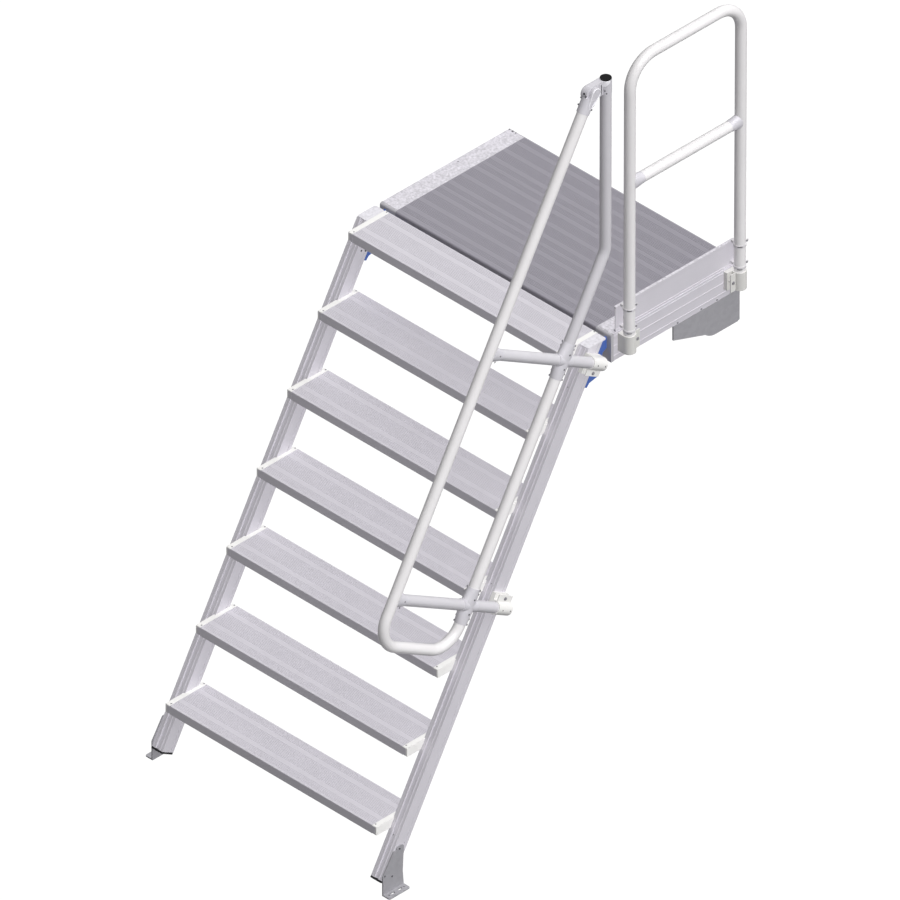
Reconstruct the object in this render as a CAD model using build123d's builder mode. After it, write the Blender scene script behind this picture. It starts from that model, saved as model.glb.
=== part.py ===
from build123d import *
from math import cos, radians, sin, tan
import os

os.makedirs("parts", exist_ok=True)

# Wall stair with a platform, in millimetres.
# X runs across the stair to the right, Y into the wall and Z up.
# The origin is the centre of the underside of the left floor flange.

# Floor brackets
flange_width = 35.0
flange_length = 98.0
bracket_plate = 5.0
bracket_height = 170.0
bracket_corner_radius = 6.0
bracket_front_height = 78.0
bracket_shoulder = 157.0
bracket_tip_width = 34.0
bracket_tip_radius = 12.0
bracket_rear_inset = 5.0
bracket_rear_waist = 60.0
floor_slot_length = 18.0
floor_slot_width = 9.0
floor_slot_spacing = 34.0
floor_hole_radius = 3.5
floor_hole_spacing = 70.0

# Flight
pitch = 60.0
tread_count = 7
riser = 250.0
stair_width = 990.0
stringer_width = 50.0
stringer_depth = 60.0
stringer_foot_y = -52.5
stringer_foot_z = 62.5
nosing_reach = 75.0
stringer_wall = 3.0
front_lip_width = 6.0
front_lip_spacing = 21.0
front_recess = 1.5
centre_groove_depth = 5.0
side_groove_width = 3.0
side_groove_depth = 1.5
side_groove_place = 44.0
rear_slot_width = 9.0
rear_slot_depth = 9.0
end_cap_thickness = 7.0
end_cap_radius = 2.0
top_cap_thickness = 3.0
top_cap_length = 86.0
top_cap_width = 45.0
top_cap_radius = 8.0

# Treads
tread_depth = 176.0
tread_height = 35.0
tread_wall = 2.5
tread_web_spacing = 44.0
tread_cap_length = 15.0
tread_cap_lip = 5.0
nose_radius = 3.0
rib_pitch = 6.0
rib_groove_width = 3.0
rib_groove_depth = 0.8
flat_band_width = 16.0

# Platform
platform_gap = 18.0
nosing_thickness = 12.0
nosing_radius = 8.0
plank_count = 3
plank_depth = 200.0
plank_band_place = 40.0
beam_width = 73.0
beam_height = 110.0
beam_wall = 3.0
beam_cap_thickness = 3.0
bead_width = 6.0
bead_proud = 1.5
bead_heights = (18.0, 58.0, 97.5)
ledge_width = 20.0
ledge_thickness = 4.0
beam_top_groove = 17.0

# Joining plates behind the stringer tops
joining_plate_thickness = 8.0
joining_plate_inset = 15.0
joining_plate_top_drop = 48.0
joining_plate_front_drop = 60.0
joining_plate_waist_drop = 15.0
joining_plate_waist_reach = 52.0
joining_plate_heel_drop = 104.0
joining_plate_heel_reach = 72.0
joining_plate_neck_drop = 128.0
joining_plate_neck_reach = 44.0
joining_plate_foot_drop = 146.0
joining_plate_foot_reach = 40.0

# Wall brackets
wall_plate_thickness = 6.0
wall_bracket_length = 317.0
wall_bracket_front_drop = 58.0
wall_bracket_knee_drop = 110.0
wall_bracket_rear_drop = 130.5
wall_bracket_knee = 166.0
wall_flange_width = 60.0
wall_flange_thickness = 10.0
wall_plate_overlap = 3.0
wall_bracket_belly = 128.0
wall_bracket_bend = 100.0
wall_hole_radius = 5.5
wall_hole_spacing = 80.0

# Toe board
toe_height = 100.0
toe_thickness = 10.0
toe_inset = 4.0
toe_web = 3.0
toe_web_recess = 2.0
toe_bead = 8.0
toe_front_setback = 26.0

# Rails
tube_radius = 20.0
tube_wall = 2.0
rail_offset = 30.0
guard_front_setback = 55.0
guard_spacing = 523.0
guard_height = 1090.0
guard_bend = 110.0
knee_height = 605.0
post_bottom_drop = 74.0
clamp_top_drop = 4.0
clamp_length = 71.0
clamp_wall = 4.0
clamp_reach = 46.0
clamp_flange = 16.0
clamp_ear = 4.0
clamp_bolt_place = 35.0
clamp_bolt_radius = 4.0
crossbar_clamp_ahead = 8.0
tube_plug_thickness = 3.0
toe_clip_wall = 2.0
toe_clip_height = 9.0
toe_clip_width = 18.0
toe_clip_places = (14.0, 101.0)
tee_length = 36.0
tee_start = 8.0
tee_flare = 30.0
handrail_inner = 155.0
handrail_outer = 552.0
loop_bottom = 848.0
crossbar_lower = 1017.0
crossbar_upper = 1911.0
loop_bend = 100.0
cross_half_length = 65.0
cross_end_radius = 22.0
cross_web_radius = 31.0
cross_web_reach = 20.0
cross_arm_reach = 34.0
post_behind_tread = 41.0
post_bend = 90.0
plug_rise = 3.0
collar_height = 56.0
collar_radius = 21.0
elbow_reach = 73.0
elbow_length = 70.0
elbow_socket_radius = 22.5
elbow_socket_start = 14.0
arm_radius = 26.5
arm_side = 23.5
arm_edge_radius = 8.0
leaf_radius = 22.0
leaf_side = 21.0
leaf_thickness = 13.0
leaf_gap = 1.0
leaf_setback = 9.0
leaf_rise = 4.0
leaf_length = 38.0
leaf_end_radius = 12.0
leaf_edge_radius = 2.5
knuckle_pin_radius = 9.0

# Places that follow from the sizes
slope_cos = cos(radians(pitch))
slope_sin = sin(radians(pitch))
going = riser / tan(radians(pitch))
left_face = flange_width / 2
tread_left = left_face + stringer_width
tread_right = tread_left + stair_width
right_face = tread_right + stringer_width
centre_x = (left_face + right_face) / 2
mid_plane = Plane.YZ.offset(centre_x)
deck_z = tread_count * riser
nosing_y = stringer_foot_y + (riser - stringer_foot_z) / tan(radians(pitch)) - nosing_reach / slope_sin
last_tread_rear = nosing_y + (tread_count - 1) * going + tread_depth
platform_front = last_tread_rear + platform_gap
plank_front = platform_front + nosing_thickness
platform_rear = plank_front + plank_count * plank_depth
beam_bottom = deck_z - beam_height
deck_left = left_face + beam_width
deck_right = right_face - beam_width
rail_x = right_face + rail_offset
guard_front_y = platform_front + guard_front_setback
guard_rear_y = guard_front_y + guard_spacing
stringer_centres = (left_face + stringer_width / 2, right_face - stringer_width / 2)
stringer_length = (deck_z - stringer_foot_z + stringer_depth) / slope_sin


def on_flight(along, ahead):
    """Give Y and Z of a point by its way up the slope and its height ahead of the stringer's face."""
    y = stringer_foot_y + along * slope_cos - ahead * slope_sin
    z = stringer_foot_z + along * slope_sin + ahead * slope_cos
    return (y, z)


def write(piece, name):
    """Label a finished piece and write it under its own name."""
    piece.part.label = name
    export_step(piece.part, "parts/" + name + ".step")


# Stringers: grooved hollow bars on the slope, cut level at the platform's height
def stringer(x):
    foot_origin = (x, stringer_foot_y, stringer_foot_z)
    foot = Plane(origin=foot_origin, x_dir=(1, 0, 0), z_dir=(0, slope_cos, slope_sin))
    lip_edge = front_lip_spacing / 2 + front_lip_width / 2
    groove_edge = front_lip_spacing / 2 - front_lip_width / 2
    hollow_front = centre_groove_depth + stringer_wall
    hollow_rear = stringer_depth - rear_slot_depth - stringer_wall
    with BuildPart() as bar:
        with BuildSketch(foot):
            with Locations((0, stringer_depth / 2)):
                Rectangle(stringer_width, stringer_depth)
            shoulder = stringer_width / 2 - lip_edge
            for side in (-1, 1):
                with Locations((side * (lip_edge + shoulder / 2), 0)):
                    Rectangle(shoulder, 2 * front_recess, mode=Mode.SUBTRACT)
                with Locations((side * stringer_width / 2, side_groove_place)):
                    Rectangle(2 * side_groove_depth, side_groove_width, mode=Mode.SUBTRACT)
            Rectangle(2 * groove_edge, 2 * centre_groove_depth, mode=Mode.SUBTRACT)
            with Locations((0, stringer_depth)):
                Rectangle(rear_slot_width, 2 * rear_slot_depth, mode=Mode.SUBTRACT)
            with Locations((0, (hollow_front + hollow_rear) / 2)):
                Rectangle(stringer_width - 2 * stringer_wall, hollow_rear - hollow_front, mode=Mode.SUBTRACT)
        extrude(amount=stringer_length)
        split(bisect_by=Plane.XY.offset(deck_z - top_cap_thickness), keep=Keep.BOTTOM)
    return bar


for side_name, side_x in zip(("left", "right"), stringer_centres):
    write(stringer(side_x), "stringer_" + side_name)

# Black caps on the square lower ends of the stringers
with BuildPart() as stringer_foot_caps:
    for side_x in stringer_centres:
        foot_origin = (side_x, stringer_foot_y, stringer_foot_z)
        with BuildSketch(Plane(origin=foot_origin, x_dir=(1, 0, 0), z_dir=(0, slope_cos, slope_sin))):
            with Locations((0, stringer_depth / 2)):
                RectangleRounded(stringer_width, stringer_depth, end_cap_radius)
        extrude(amount=-end_cap_thickness)
write(stringer_foot_caps, "stringer_foot_caps")

# Pale cover plates on the level upper ends of the stringers
top_front = stringer_foot_y + (deck_z - stringer_foot_z) / tan(radians(pitch))
with BuildPart() as stringer_top_caps:
    with BuildSketch(Plane.XY.offset(deck_z - top_cap_thickness)):
        for cap_x in (left_face + top_cap_width / 2, right_face - top_cap_width / 2):
            with Locations((cap_x, top_front + top_cap_length / 2)):
                RectangleRounded(top_cap_width, top_cap_length, top_cap_radius)
    extrude(amount=top_cap_thickness)
write(stringer_top_caps, "stringer_top_caps")


# Floor brackets: an angle with a plate up the stringer's outer face and a slotted flange outwards
def floor_bracket():
    half = flange_length / 2
    face_y = stringer_foot_y + (bracket_shoulder - stringer_foot_z) / tan(radians(pitch))
    with BuildPart() as bracket:
        with BuildSketch(Plane.YZ.offset(left_face)):
            with BuildLine():
                Polyline(
                    (-half, 0),
                    (half, 0),
                    (half - bracket_rear_inset, bracket_rear_waist),
                    (half, bracket_shoulder),
                    (half, bracket_height),
                    (half - bracket_tip_width, bracket_height),
                    (half - bracket_tip_width, bracket_shoulder),
                    (face_y, bracket_shoulder),
                    (-half, bracket_front_height),
                    close=True,
                )
            outline = make_face()
            fillet(outline.vertices().group_by(Axis.Y)[-1], bracket_tip_radius)
        extrude(amount=-bracket_plate)
        with BuildSketch():
            RectangleRounded(flange_width, flange_length, bracket_corner_radius)
            with Locations((left_face - bracket_corner_radius, 0)):
                Rectangle(2 * bracket_corner_radius, flange_length)
            with Locations((0, -floor_slot_spacing / 2), (0, floor_slot_spacing / 2)):
                SlotOverall(floor_slot_length, floor_slot_width, rotation=90, mode=Mode.SUBTRACT)
            with Locations((0, -floor_hole_spacing / 2), (0, floor_hole_spacing / 2)):
                Circle(floor_hole_radius, mode=Mode.SUBTRACT)
        extrude(amount=bracket_plate)
    return bracket


foot_bracket_left = floor_bracket()
write(foot_bracket_left, "foot_bracket_left")
with BuildPart() as foot_bracket_right:
    add(mirror(foot_bracket_left.part, about=mid_plane))
write(foot_bracket_right, "foot_bracket_right")


def ribbed_board(plane, depth, height, band_centres, rounded_front):
    """Draw the hollow section of a tread or plank, with fine ribs between flat bands on its top."""
    with BuildSketch(plane) as section:
        with Locations((depth / 2, -height / 2)):
            Rectangle(depth, height)
        if rounded_front:
            fillet(section.vertices().group_by(Axis.Y)[-1], nose_radius)
        groove_count = int((depth - 2 * rib_pitch) / rib_pitch)
        first = (depth - (groove_count - 1) * rib_pitch) / 2
        for index in range(groove_count):
            place = first + index * rib_pitch
            if all(abs(place - band) > flat_band_width / 2 for band in band_centres):
                with Locations((place, 0)):
                    Rectangle(rib_groove_width, 2 * rib_groove_depth, mode=Mode.SUBTRACT)
        chambers = round(depth / tread_web_spacing)
        chamber = (depth - tread_wall * (chambers + 1)) / chambers
        top_wall = tread_wall + rib_groove_depth
        inner_height = height - tread_wall - top_wall
        for index in range(chambers):
            middle = tread_wall + chamber / 2 + index * (chamber + tread_wall)
            with Locations((middle, -top_wall - inner_height / 2)):
                Rectangle(chamber, inner_height, mode=Mode.SUBTRACT)
    return section.sketch


# Treads between the stringers, level, each a going behind and a riser above the last
tread_bands = (tread_depth / 4, tread_depth * 3 / 4)
for number in range(1, tread_count + 1):
    nose = (tread_left + tread_cap_length, nosing_y + (number - 1) * going, number * riser)
    with BuildPart() as tread:
        nose_plane = Plane(origin=nose, x_dir=(0, 1, 0), z_dir=(1, 0, 0))
        board = ribbed_board(nose_plane, tread_depth, tread_height, tread_bands, True)
        extrude(board, amount=stair_width - 2 * tread_cap_length)
    write(tread, "tread_" + str(number))


# End caps between each tread and the stringers, with a small lip past each stringer's inner face
def tread_caps(x, stringer_x):
    length = tread_cap_length + tread_cap_lip
    foot_origin = (stringer_x, stringer_foot_y, stringer_foot_z)
    with BuildPart() as envelope:
        with BuildSketch(Plane(origin=foot_origin, x_dir=(1, 0, 0), z_dir=(0, slope_cos, slope_sin))):
            with Locations((0, stringer_depth / 2)):
                Rectangle(stringer_width, stringer_depth)
        extrude(amount=stringer_length)
        split(bisect_by=Plane.XY.offset(deck_z - top_cap_thickness), keep=Keep.BOTTOM)
    with BuildPart() as caps:
        for index in range(tread_count):
            cap_y = nosing_y + index * going + tread_depth / 2
            with BuildSketch(Plane.YZ.offset(x)):
                with Locations((cap_y, (index + 1) * riser - tread_height / 2)):
                    RectangleRounded(tread_depth, tread_height, nose_radius)
            extrude(amount=length)
        add(envelope.part, mode=Mode.SUBTRACT)
    return caps


write(tread_caps(tread_left - tread_cap_lip, stringer_centres[0]), "tread_end_caps_left")
write(tread_caps(tread_right - tread_cap_length, stringer_centres[1]), "tread_end_caps_right")

# Right side beam: hollow, with beads along its outer face and a ledge inside for the deck
with BuildPart() as side_beam_right:
    with BuildSketch(Plane.XZ.offset(-plank_front)):
        with Locations((right_face - beam_width / 2, deck_z - beam_height / 2)):
            Rectangle(beam_width, beam_height)
        for low, high in zip((0.0,) + bead_heights, bead_heights + (beam_height,)):
            panel_low = low + (bead_width / 2 if low > 0 else 0)
            panel_high = high - (bead_width / 2 if high < beam_height else 0)
            with Locations((right_face, beam_bottom + (panel_low + panel_high) / 2)):
                Rectangle(2 * bead_proud, panel_high - panel_low, mode=Mode.SUBTRACT)
        with Locations((right_face - beam_top_groove, deck_z)):
            Rectangle(rib_groove_width, 2 * rib_groove_depth, mode=Mode.SUBTRACT)
        inner_width = beam_width - 2 * beam_wall - bead_proud
        inner_centre = right_face - bead_proud - beam_wall - inner_width / 2
        with Locations((inner_centre, deck_z - beam_height / 2)):
            Rectangle(inner_width, beam_height - 2 * (beam_wall + rib_groove_depth), mode=Mode.SUBTRACT)
        with Locations((deck_right - ledge_width / 2, deck_z - tread_height - ledge_thickness / 2)):
            Rectangle(ledge_width, ledge_thickness)
    extrude(amount=-(platform_rear - plank_front - beam_cap_thickness))
write(side_beam_right, "side_beam_right")
with BuildPart() as side_beam_left:
    add(mirror(side_beam_right.part, about=mid_plane))
write(side_beam_left, "side_beam_left")

# End caps of the side beams: rounded like the deck's nosing at the front, flat plates at the rear
with BuildPart() as beam_end_caps:
    for cap_x in (left_face + beam_width / 2, right_face - beam_width / 2):
        with BuildSketch(Plane.YZ.offset(cap_x)) as front_section:
            with Locations((platform_front + nosing_thickness / 2, deck_z - beam_height / 2)):
                Rectangle(nosing_thickness, beam_height)
            fillet(front_section.vertices().group_by(Axis.Y)[-1].sort_by(Axis.X)[0], nosing_radius)
        extrude(amount=beam_width / 2, both=True)
        with BuildSketch(Plane.XZ.offset(-platform_rear)):
            with Locations((cap_x, deck_z - beam_height / 2)):
                RectangleRounded(beam_width, beam_height, end_cap_radius)
        extrude(amount=beam_cap_thickness)
write(beam_end_caps, "beam_end_caps")

# Deck planks across the platform, resting on the ledges of the beams
plank_bands = (plank_band_place, plank_depth / 2, plank_depth - plank_band_place)
for number in range(plank_count):
    plank_corner = (deck_left, plank_front + number * plank_depth, deck_z)
    with BuildPart() as deck_plank:
        plank_plane = Plane(origin=plank_corner, x_dir=(0, 1, 0), z_dir=(1, 0, 0))
        board = ribbed_board(plank_plane, plank_depth, tread_height, plank_bands, False)
        extrude(board, amount=deck_right - deck_left)
    write(deck_plank, "deck_plank_" + str(number + 1))

# Rounded nosing on the front of the deck
with BuildPart() as deck_nosing:
    nosing_origin = (deck_left, platform_front, deck_z)
    with BuildSketch(Plane(origin=nosing_origin, x_dir=(0, 1, 0), z_dir=(1, 0, 0))) as nosing_section:
        with Locations((nosing_thickness / 2, -tread_height / 2)):
            Rectangle(nosing_thickness, tread_height)
        fillet(nosing_section.vertices().group_by(Axis.Y)[-1].sort_by(Axis.X)[0], nosing_radius)
    extrude(amount=deck_right - deck_left)
write(deck_nosing, "deck_nosing")

# Blue plates that join the stringer tops to the platform's front
slot_floor = rear_slot_depth - stringer_depth
stringer_top = (deck_z - stringer_foot_z) / slope_sin
plate_steps = (
    (joining_plate_waist_drop, joining_plate_waist_reach),
    (joining_plate_heel_drop, joining_plate_heel_reach),
    (joining_plate_neck_drop, joining_plate_neck_reach),
    (joining_plate_foot_drop, joining_plate_foot_reach),
)
plate_rear = [on_flight(stringer_top - drop, -stringer_depth - reach) for drop, reach in plate_steps]
with BuildPart() as joining_plates:
    for side_x in stringer_centres:
        with BuildSketch(Plane.YZ.offset(side_x - joining_plate_thickness / 2)):
            with BuildLine():
                Polyline(
                    on_flight(stringer_top - joining_plate_top_drop, slot_floor),
                    (platform_front, deck_z - joining_plate_inset),
                    (platform_front, deck_z - joining_plate_front_drop),
                    *plate_rear,
                    on_flight(stringer_top - joining_plate_foot_drop, slot_floor),
                    close=True,
                )
            make_face()
        extrude(amount=joining_plate_thickness)
write(joining_plates, "joining_plates")

# Wall brackets: a hanging plate, a flange under the beam and a flange against the wall
bracket_front = platform_rear - wall_bracket_length
bracket_rear = platform_rear - wall_flange_thickness
bracket_low = beam_bottom - wall_bracket_rear_drop
with BuildPart() as wall_bracket_right:
    with BuildSketch(Plane.YZ.offset(right_face)):
        with BuildLine():
            Polyline(
                (bracket_rear - wall_bracket_bend, bracket_low),
                (bracket_rear, bracket_low),
                (bracket_rear, beam_bottom),
                (bracket_front, beam_bottom),
                (bracket_front, beam_bottom - wall_bracket_front_drop),
                (platform_rear - wall_bracket_knee, beam_bottom - wall_bracket_knee_drop),
            )
            ThreePointArc(
                (platform_rear - wall_bracket_knee, beam_bottom - wall_bracket_knee_drop),
                (platform_rear - (wall_bracket_knee + wall_bracket_belly) / 2 + wall_plate_overlap,
                 bracket_low + wall_plate_thickness),
                (bracket_rear - wall_bracket_bend, bracket_low),
            )
        make_face()
    extrude(amount=-wall_plate_thickness)
    flange_x = right_face - wall_flange_width / 2
    with BuildSketch(Plane.XY.offset(beam_bottom)):
        with Locations((flange_x, (bracket_front + bracket_rear) / 2)):
            Rectangle(wall_flange_width, bracket_rear - bracket_front)
    extrude(amount=-wall_plate_thickness)
    with BuildSketch(Plane.XZ.offset(-platform_rear)):
        hole_z = beam_bottom - wall_bracket_rear_drop / 2
        with Locations((flange_x - wall_plate_overlap, hole_z)):
            Rectangle(wall_flange_width, wall_bracket_rear_drop)
        for side in (-1, 1):
            with Locations((flange_x - wall_plate_overlap, hole_z + side * wall_hole_spacing / 2)):
                Circle(wall_hole_radius, mode=Mode.SUBTRACT)
    extrude(amount=wall_flange_thickness)
write(wall_bracket_right, "wall_bracket_right")
with BuildPart() as wall_bracket_left:
    add(mirror(wall_bracket_right.part, about=mid_plane))
write(wall_bracket_left, "wall_bracket_left")

# Toe board on the right beam, with a bead along its foot and its top
toe_front = platform_front + toe_front_setback
toe_face = right_face - toe_inset
toe_rear = guard_rear_y + toe_clip_width / 2
with BuildPart() as toe_board:
    with BuildSketch(Plane.XZ.offset(-toe_front)):
        with Locations((toe_face - toe_web / 2 - toe_web_recess, deck_z + toe_height / 2)):
            Rectangle(toe_web, toe_height)
        for bead_z in (toe_bead / 2, toe_height - toe_bead / 2):
            with Locations((toe_face - toe_thickness / 2, deck_z + bead_z)):
                Rectangle(toe_thickness, toe_bead)
    extrude(amount=-(toe_rear - toe_front))
write(toe_board, "toe_board")


def tube_profile(start, direction):
    """Draw a tube's ring across its path."""
    with BuildSketch(Plane(origin=start, x_dir=(1, 0, 0), z_dir=direction)) as ring:
        Circle(tube_radius)
        Circle(tube_radius - tube_wall, mode=Mode.SUBTRACT)
    return ring.sketch


# Guardrail: one tube bent to a hoop beside the platform
guard_top = deck_z + guard_height
post_bottom = deck_z - post_bottom_drop
with BuildPart() as guardrail_hoop:
    with BuildLine(Plane.YZ.offset(rail_x)) as hoop_path:
        FilletPolyline(
            (guard_front_y, post_bottom),
            (guard_front_y, guard_top),
            (guard_rear_y, guard_top),
            (guard_rear_y, post_bottom),
            radius=guard_bend,
        )
    sweep(tube_profile((rail_x, guard_front_y, post_bottom), (0, 0, 1)))
write(guardrail_hoop, "guardrail_hoop")

# Knee rail with a tee at each post
knee_z = deck_z + knee_height
tee_end = tube_radius + tee_length
with BuildPart() as knee_rail:
    knee_tube = tube_profile((rail_x, guard_front_y + tee_end, knee_z), (0, 1, 0))
    extrude(knee_tube, amount=guard_spacing - 2 * tee_end)
write(knee_rail, "knee_rail")

with BuildPart() as knee_rail_tees:
    for tee_y, way in ((guard_front_y, 1), (guard_rear_y, -1)):
        tee_plane = Plane(origin=(rail_x, tee_y, knee_z), x_dir=(1, 0, 0), z_dir=(0, way, 0))
        with BuildSketch(tee_plane.offset(tee_start)):
            Ellipse(tube_radius, tee_flare)
        with BuildSketch(tee_plane.offset(tee_end)):
            Circle(tube_radius)
        loft()
        with Locations((rail_x, tee_y, knee_z)):
            Cylinder(tube_radius, 4 * tee_flare, mode=Mode.SUBTRACT)
write(knee_rail_tees, "knee_rail_tees")


# Split clamps: a block and ring round a tube, with a flange on the bar behind and a bolted ear on one side
def pipe_clamp(origin, along, way):
    with BuildPart() as clamp:
        with BuildSketch(Plane(origin=origin, x_dir=(1, 0, 0), z_dir=along)):
            Circle(tube_radius + clamp_wall)
            with Locations((-rail_offset / 2, 0)):
                Rectangle(rail_offset, 2 * (tube_radius + clamp_wall))
            with Locations((clamp_flange / 2 - rail_offset, way * clamp_reach / 2)):
                Rectangle(clamp_flange, clamp_reach)
            with Locations((clamp_ear / 2, way * (clamp_reach + tube_radius) / 2)):
                Rectangle(clamp_ear, clamp_reach - tube_radius)
            Circle(tube_radius, mode=Mode.SUBTRACT)
        extrude(amount=clamp_length / 2, both=True)
        bolt_plane = Plane(origin=origin, x_dir=along, z_dir=(1, 0, 0))
        with BuildSketch(bolt_plane.offset(clamp_flange - rail_offset)):
            with Locations((0, -way * clamp_bolt_place)):
                Circle(clamp_bolt_radius)
        extrude(amount=rail_offset - clamp_flange)
    return clamp


clamp_middle = deck_z - clamp_top_drop - clamp_length / 2
write(pipe_clamp((rail_x, guard_front_y, clamp_middle), (0, 0, 1), 1), "post_clamp_front")
write(pipe_clamp((rail_x, guard_rear_y, clamp_middle), (0, 0, 1), -1), "post_clamp_rear")

# Clips that tie the toe board to the guard posts
with BuildPart() as toe_clips:
    for clip_place, clip_back in zip(toe_clip_places, (toe_inset + toe_web_recess, toe_inset)):
        for post_place in (guard_front_y, guard_rear_y):
            with BuildSketch(Plane.XY.offset(deck_z + clip_place - toe_clip_height / 2)):
                with Locations((rail_x, post_place)):
                    Circle(tube_radius + toe_clip_wall)
                link_left = right_face - clip_back
                with Locations(((link_left + rail_x) / 2, post_place)):
                    Rectangle(rail_x - link_left, toe_clip_width)
                with Locations((rail_x + toe_clip_wall / 2, post_place + tube_radius + toe_clip_width / 2)):
                    Rectangle(toe_clip_wall, toe_clip_width)
                with Locations((rail_x, post_place)):
                    Circle(tube_radius, mode=Mode.SUBTRACT)
            extrude(amount=toe_clip_height)
write(toe_clips, "toe_clips")

# Handrail post: upright beside the stringer's top, as high as the elbow asks, bent to run down along it
post_y = last_tread_rear - post_behind_tread
elbow_along = (post_y - elbow_reach - stringer_foot_y + handrail_outer * slope_sin) / slope_cos
knuckle_y, knuckle_z = on_flight(elbow_along, handrail_outer)
post_top = knuckle_z + collar_height / 2
bend_along = (post_y - stringer_foot_y + handrail_inner * slope_sin) / slope_cos
cross_top = crossbar_upper + cross_half_length
with BuildPart() as handrail_post:
    with BuildLine(Plane.YZ.offset(rail_x)) as post_path:
        FilletPolyline(
            (post_y, post_top - collar_height),
            on_flight(bend_along, handrail_inner),
            on_flight(cross_top, handrail_inner),
            radius=post_bend,
        )
    sweep(tube_profile((rail_x, post_y, post_top - collar_height), (0, 0, -1)))
write(handrail_post, "handrail_post")

# Black plug in the top of the post
with BuildPart() as post_plug:
    with BuildSketch(Plane.XY.offset(post_top)):
        with Locations((rail_x, post_y)):
            Circle(tube_radius)
    extrude(amount=plug_rise)
write(post_plug, "post_plug")

# Handrail loop: down in front of the stair, round its foot and back up to the lower fitting
loop_top = elbow_along - elbow_length
with BuildPart() as handrail_loop:
    with BuildLine(Plane.YZ.offset(rail_x)) as loop_path:
        FilletPolyline(
            on_flight(loop_top, handrail_outer),
            on_flight(loop_bottom, handrail_outer),
            on_flight(loop_bottom, handrail_inner),
            on_flight(crossbar_lower - cross_half_length, handrail_inner),
            radius=loop_bend,
        )
    loop_start_y, loop_start_z = on_flight(loop_top, handrail_outer)
    sweep(tube_profile((rail_x, loop_start_y, loop_start_z), (0, -slope_cos, -slope_sin)))
write(handrail_loop, "handrail_loop")

# Straight handrail tube between the two cross fittings
with BuildPart() as handrail_lower_tube:
    start_y, start_z = on_flight(crossbar_lower + cross_half_length, handrail_inner)
    tube = tube_profile((rail_x, start_y, start_z), (0, slope_cos, slope_sin))
    extrude(tube, amount=crossbar_upper - crossbar_lower - 2 * cross_half_length)
write(handrail_lower_tube, "handrail_lower_tube")

# Swivel elbow: a collar with a rounded arm on the post, and a leaf with a socket on the loop's end
arm_right = leaf_side - leaf_thickness - leaf_gap
leaf_centre = (knuckle_y + leaf_setback, knuckle_z + leaf_rise)
with BuildPart() as handrail_elbow:
    with BuildSketch(Plane.YZ.offset(rail_x - arm_side)):
        with Locations((knuckle_y, knuckle_z)):
            Circle(arm_radius)
        with Locations(((knuckle_y + post_y) / 2, knuckle_z)):
            Rectangle(post_y - knuckle_y, 2 * arm_radius)
    extrude(amount=arm_right + arm_side)
    fillet(handrail_elbow.edges().group_by(Axis.X)[0], arm_edge_radius)
    with BuildSketch(Plane.XY.offset(post_top - collar_height)):
        with Locations((rail_x, post_y)):
            Circle(collar_radius)
    extrude(amount=collar_height)
    with BuildSketch(Plane.YZ.offset(rail_x + arm_right)):
        with Locations(leaf_centre):
            Circle(knuckle_pin_radius)
    extrude(amount=leaf_gap)
    knuckle_origin = (rail_x, knuckle_y, knuckle_z)
    socket_plane = Plane(origin=knuckle_origin, x_dir=(1, 0, 0), z_dir=(0, -slope_cos, -slope_sin))
    with BuildSketch(socket_plane.offset(elbow_socket_start)):
        Circle(elbow_socket_radius)
    extrude(amount=elbow_length - elbow_socket_start)
    with BuildPart(mode=Mode.PRIVATE) as leaf:
        with BuildSketch(Plane.YZ.offset(rail_x + leaf_side)):
            with Locations(leaf_centre):
                Circle(leaf_radius)
            with Locations(on_flight(elbow_along - leaf_length, handrail_outer)):
                Circle(leaf_end_radius)
            make_hull()
        extrude(amount=-leaf_thickness)
        fillet(leaf.edges().group_by(Axis.X)[-1], leaf_edge_radius)
    add(leaf.part)
write(handrail_elbow, "handrail_elbow")


# Cross fittings where the crossbars pass the lower handrail, widened in their own plane towards the middle
def cross_fitting(along):
    y, z = on_flight(along, handrail_inner)
    bar_origin = (rail_x, y, z)
    with BuildPart() as fitting:
        for way in (-1, 1):
            arm_plane = Plane(origin=bar_origin, x_dir=(1, 0, 0), z_dir=(0, way * slope_cos, way * slope_sin))
            with BuildSketch(arm_plane.offset(cross_half_length)):
                Circle(cross_end_radius)
            with BuildSketch(arm_plane.offset(cross_web_reach)):
                Ellipse(cross_end_radius, cross_web_radius)
            loft()
            with BuildSketch(arm_plane.offset(cross_web_reach)):
                Ellipse(cross_end_radius, cross_web_radius)
            extrude(amount=-cross_web_reach)
        with BuildSketch(Plane(origin=bar_origin, x_dir=(1, 0, 0), z_dir=(0, -slope_sin, slope_cos))):
            Circle(cross_end_radius)
        extrude(amount=cross_arm_reach, both=True)
    return fitting


write(cross_fitting(crossbar_lower), "cross_fitting_lower")
write(cross_fitting(crossbar_upper), "cross_fitting_upper")


# Crossbars: one tube ahead of each cross fitting and one behind it, into the stringer clamp
def crossbar(along):
    ahead_part = (handrail_inner + cross_arm_reach, handrail_outer - tee_end)
    behind_part = (crossbar_clamp_ahead - clamp_length, handrail_inner - cross_arm_reach)
    with BuildPart() as bar:
        for low, high in (ahead_part, behind_part):
            y, z = on_flight(along, low)
            extrude(tube_profile((rail_x, y, z), (0, -slope_sin, slope_cos)), amount=high - low)
    return bar


write(crossbar(crossbar_lower), "crossbar_lower")
write(crossbar(crossbar_upper), "crossbar_upper")

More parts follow.
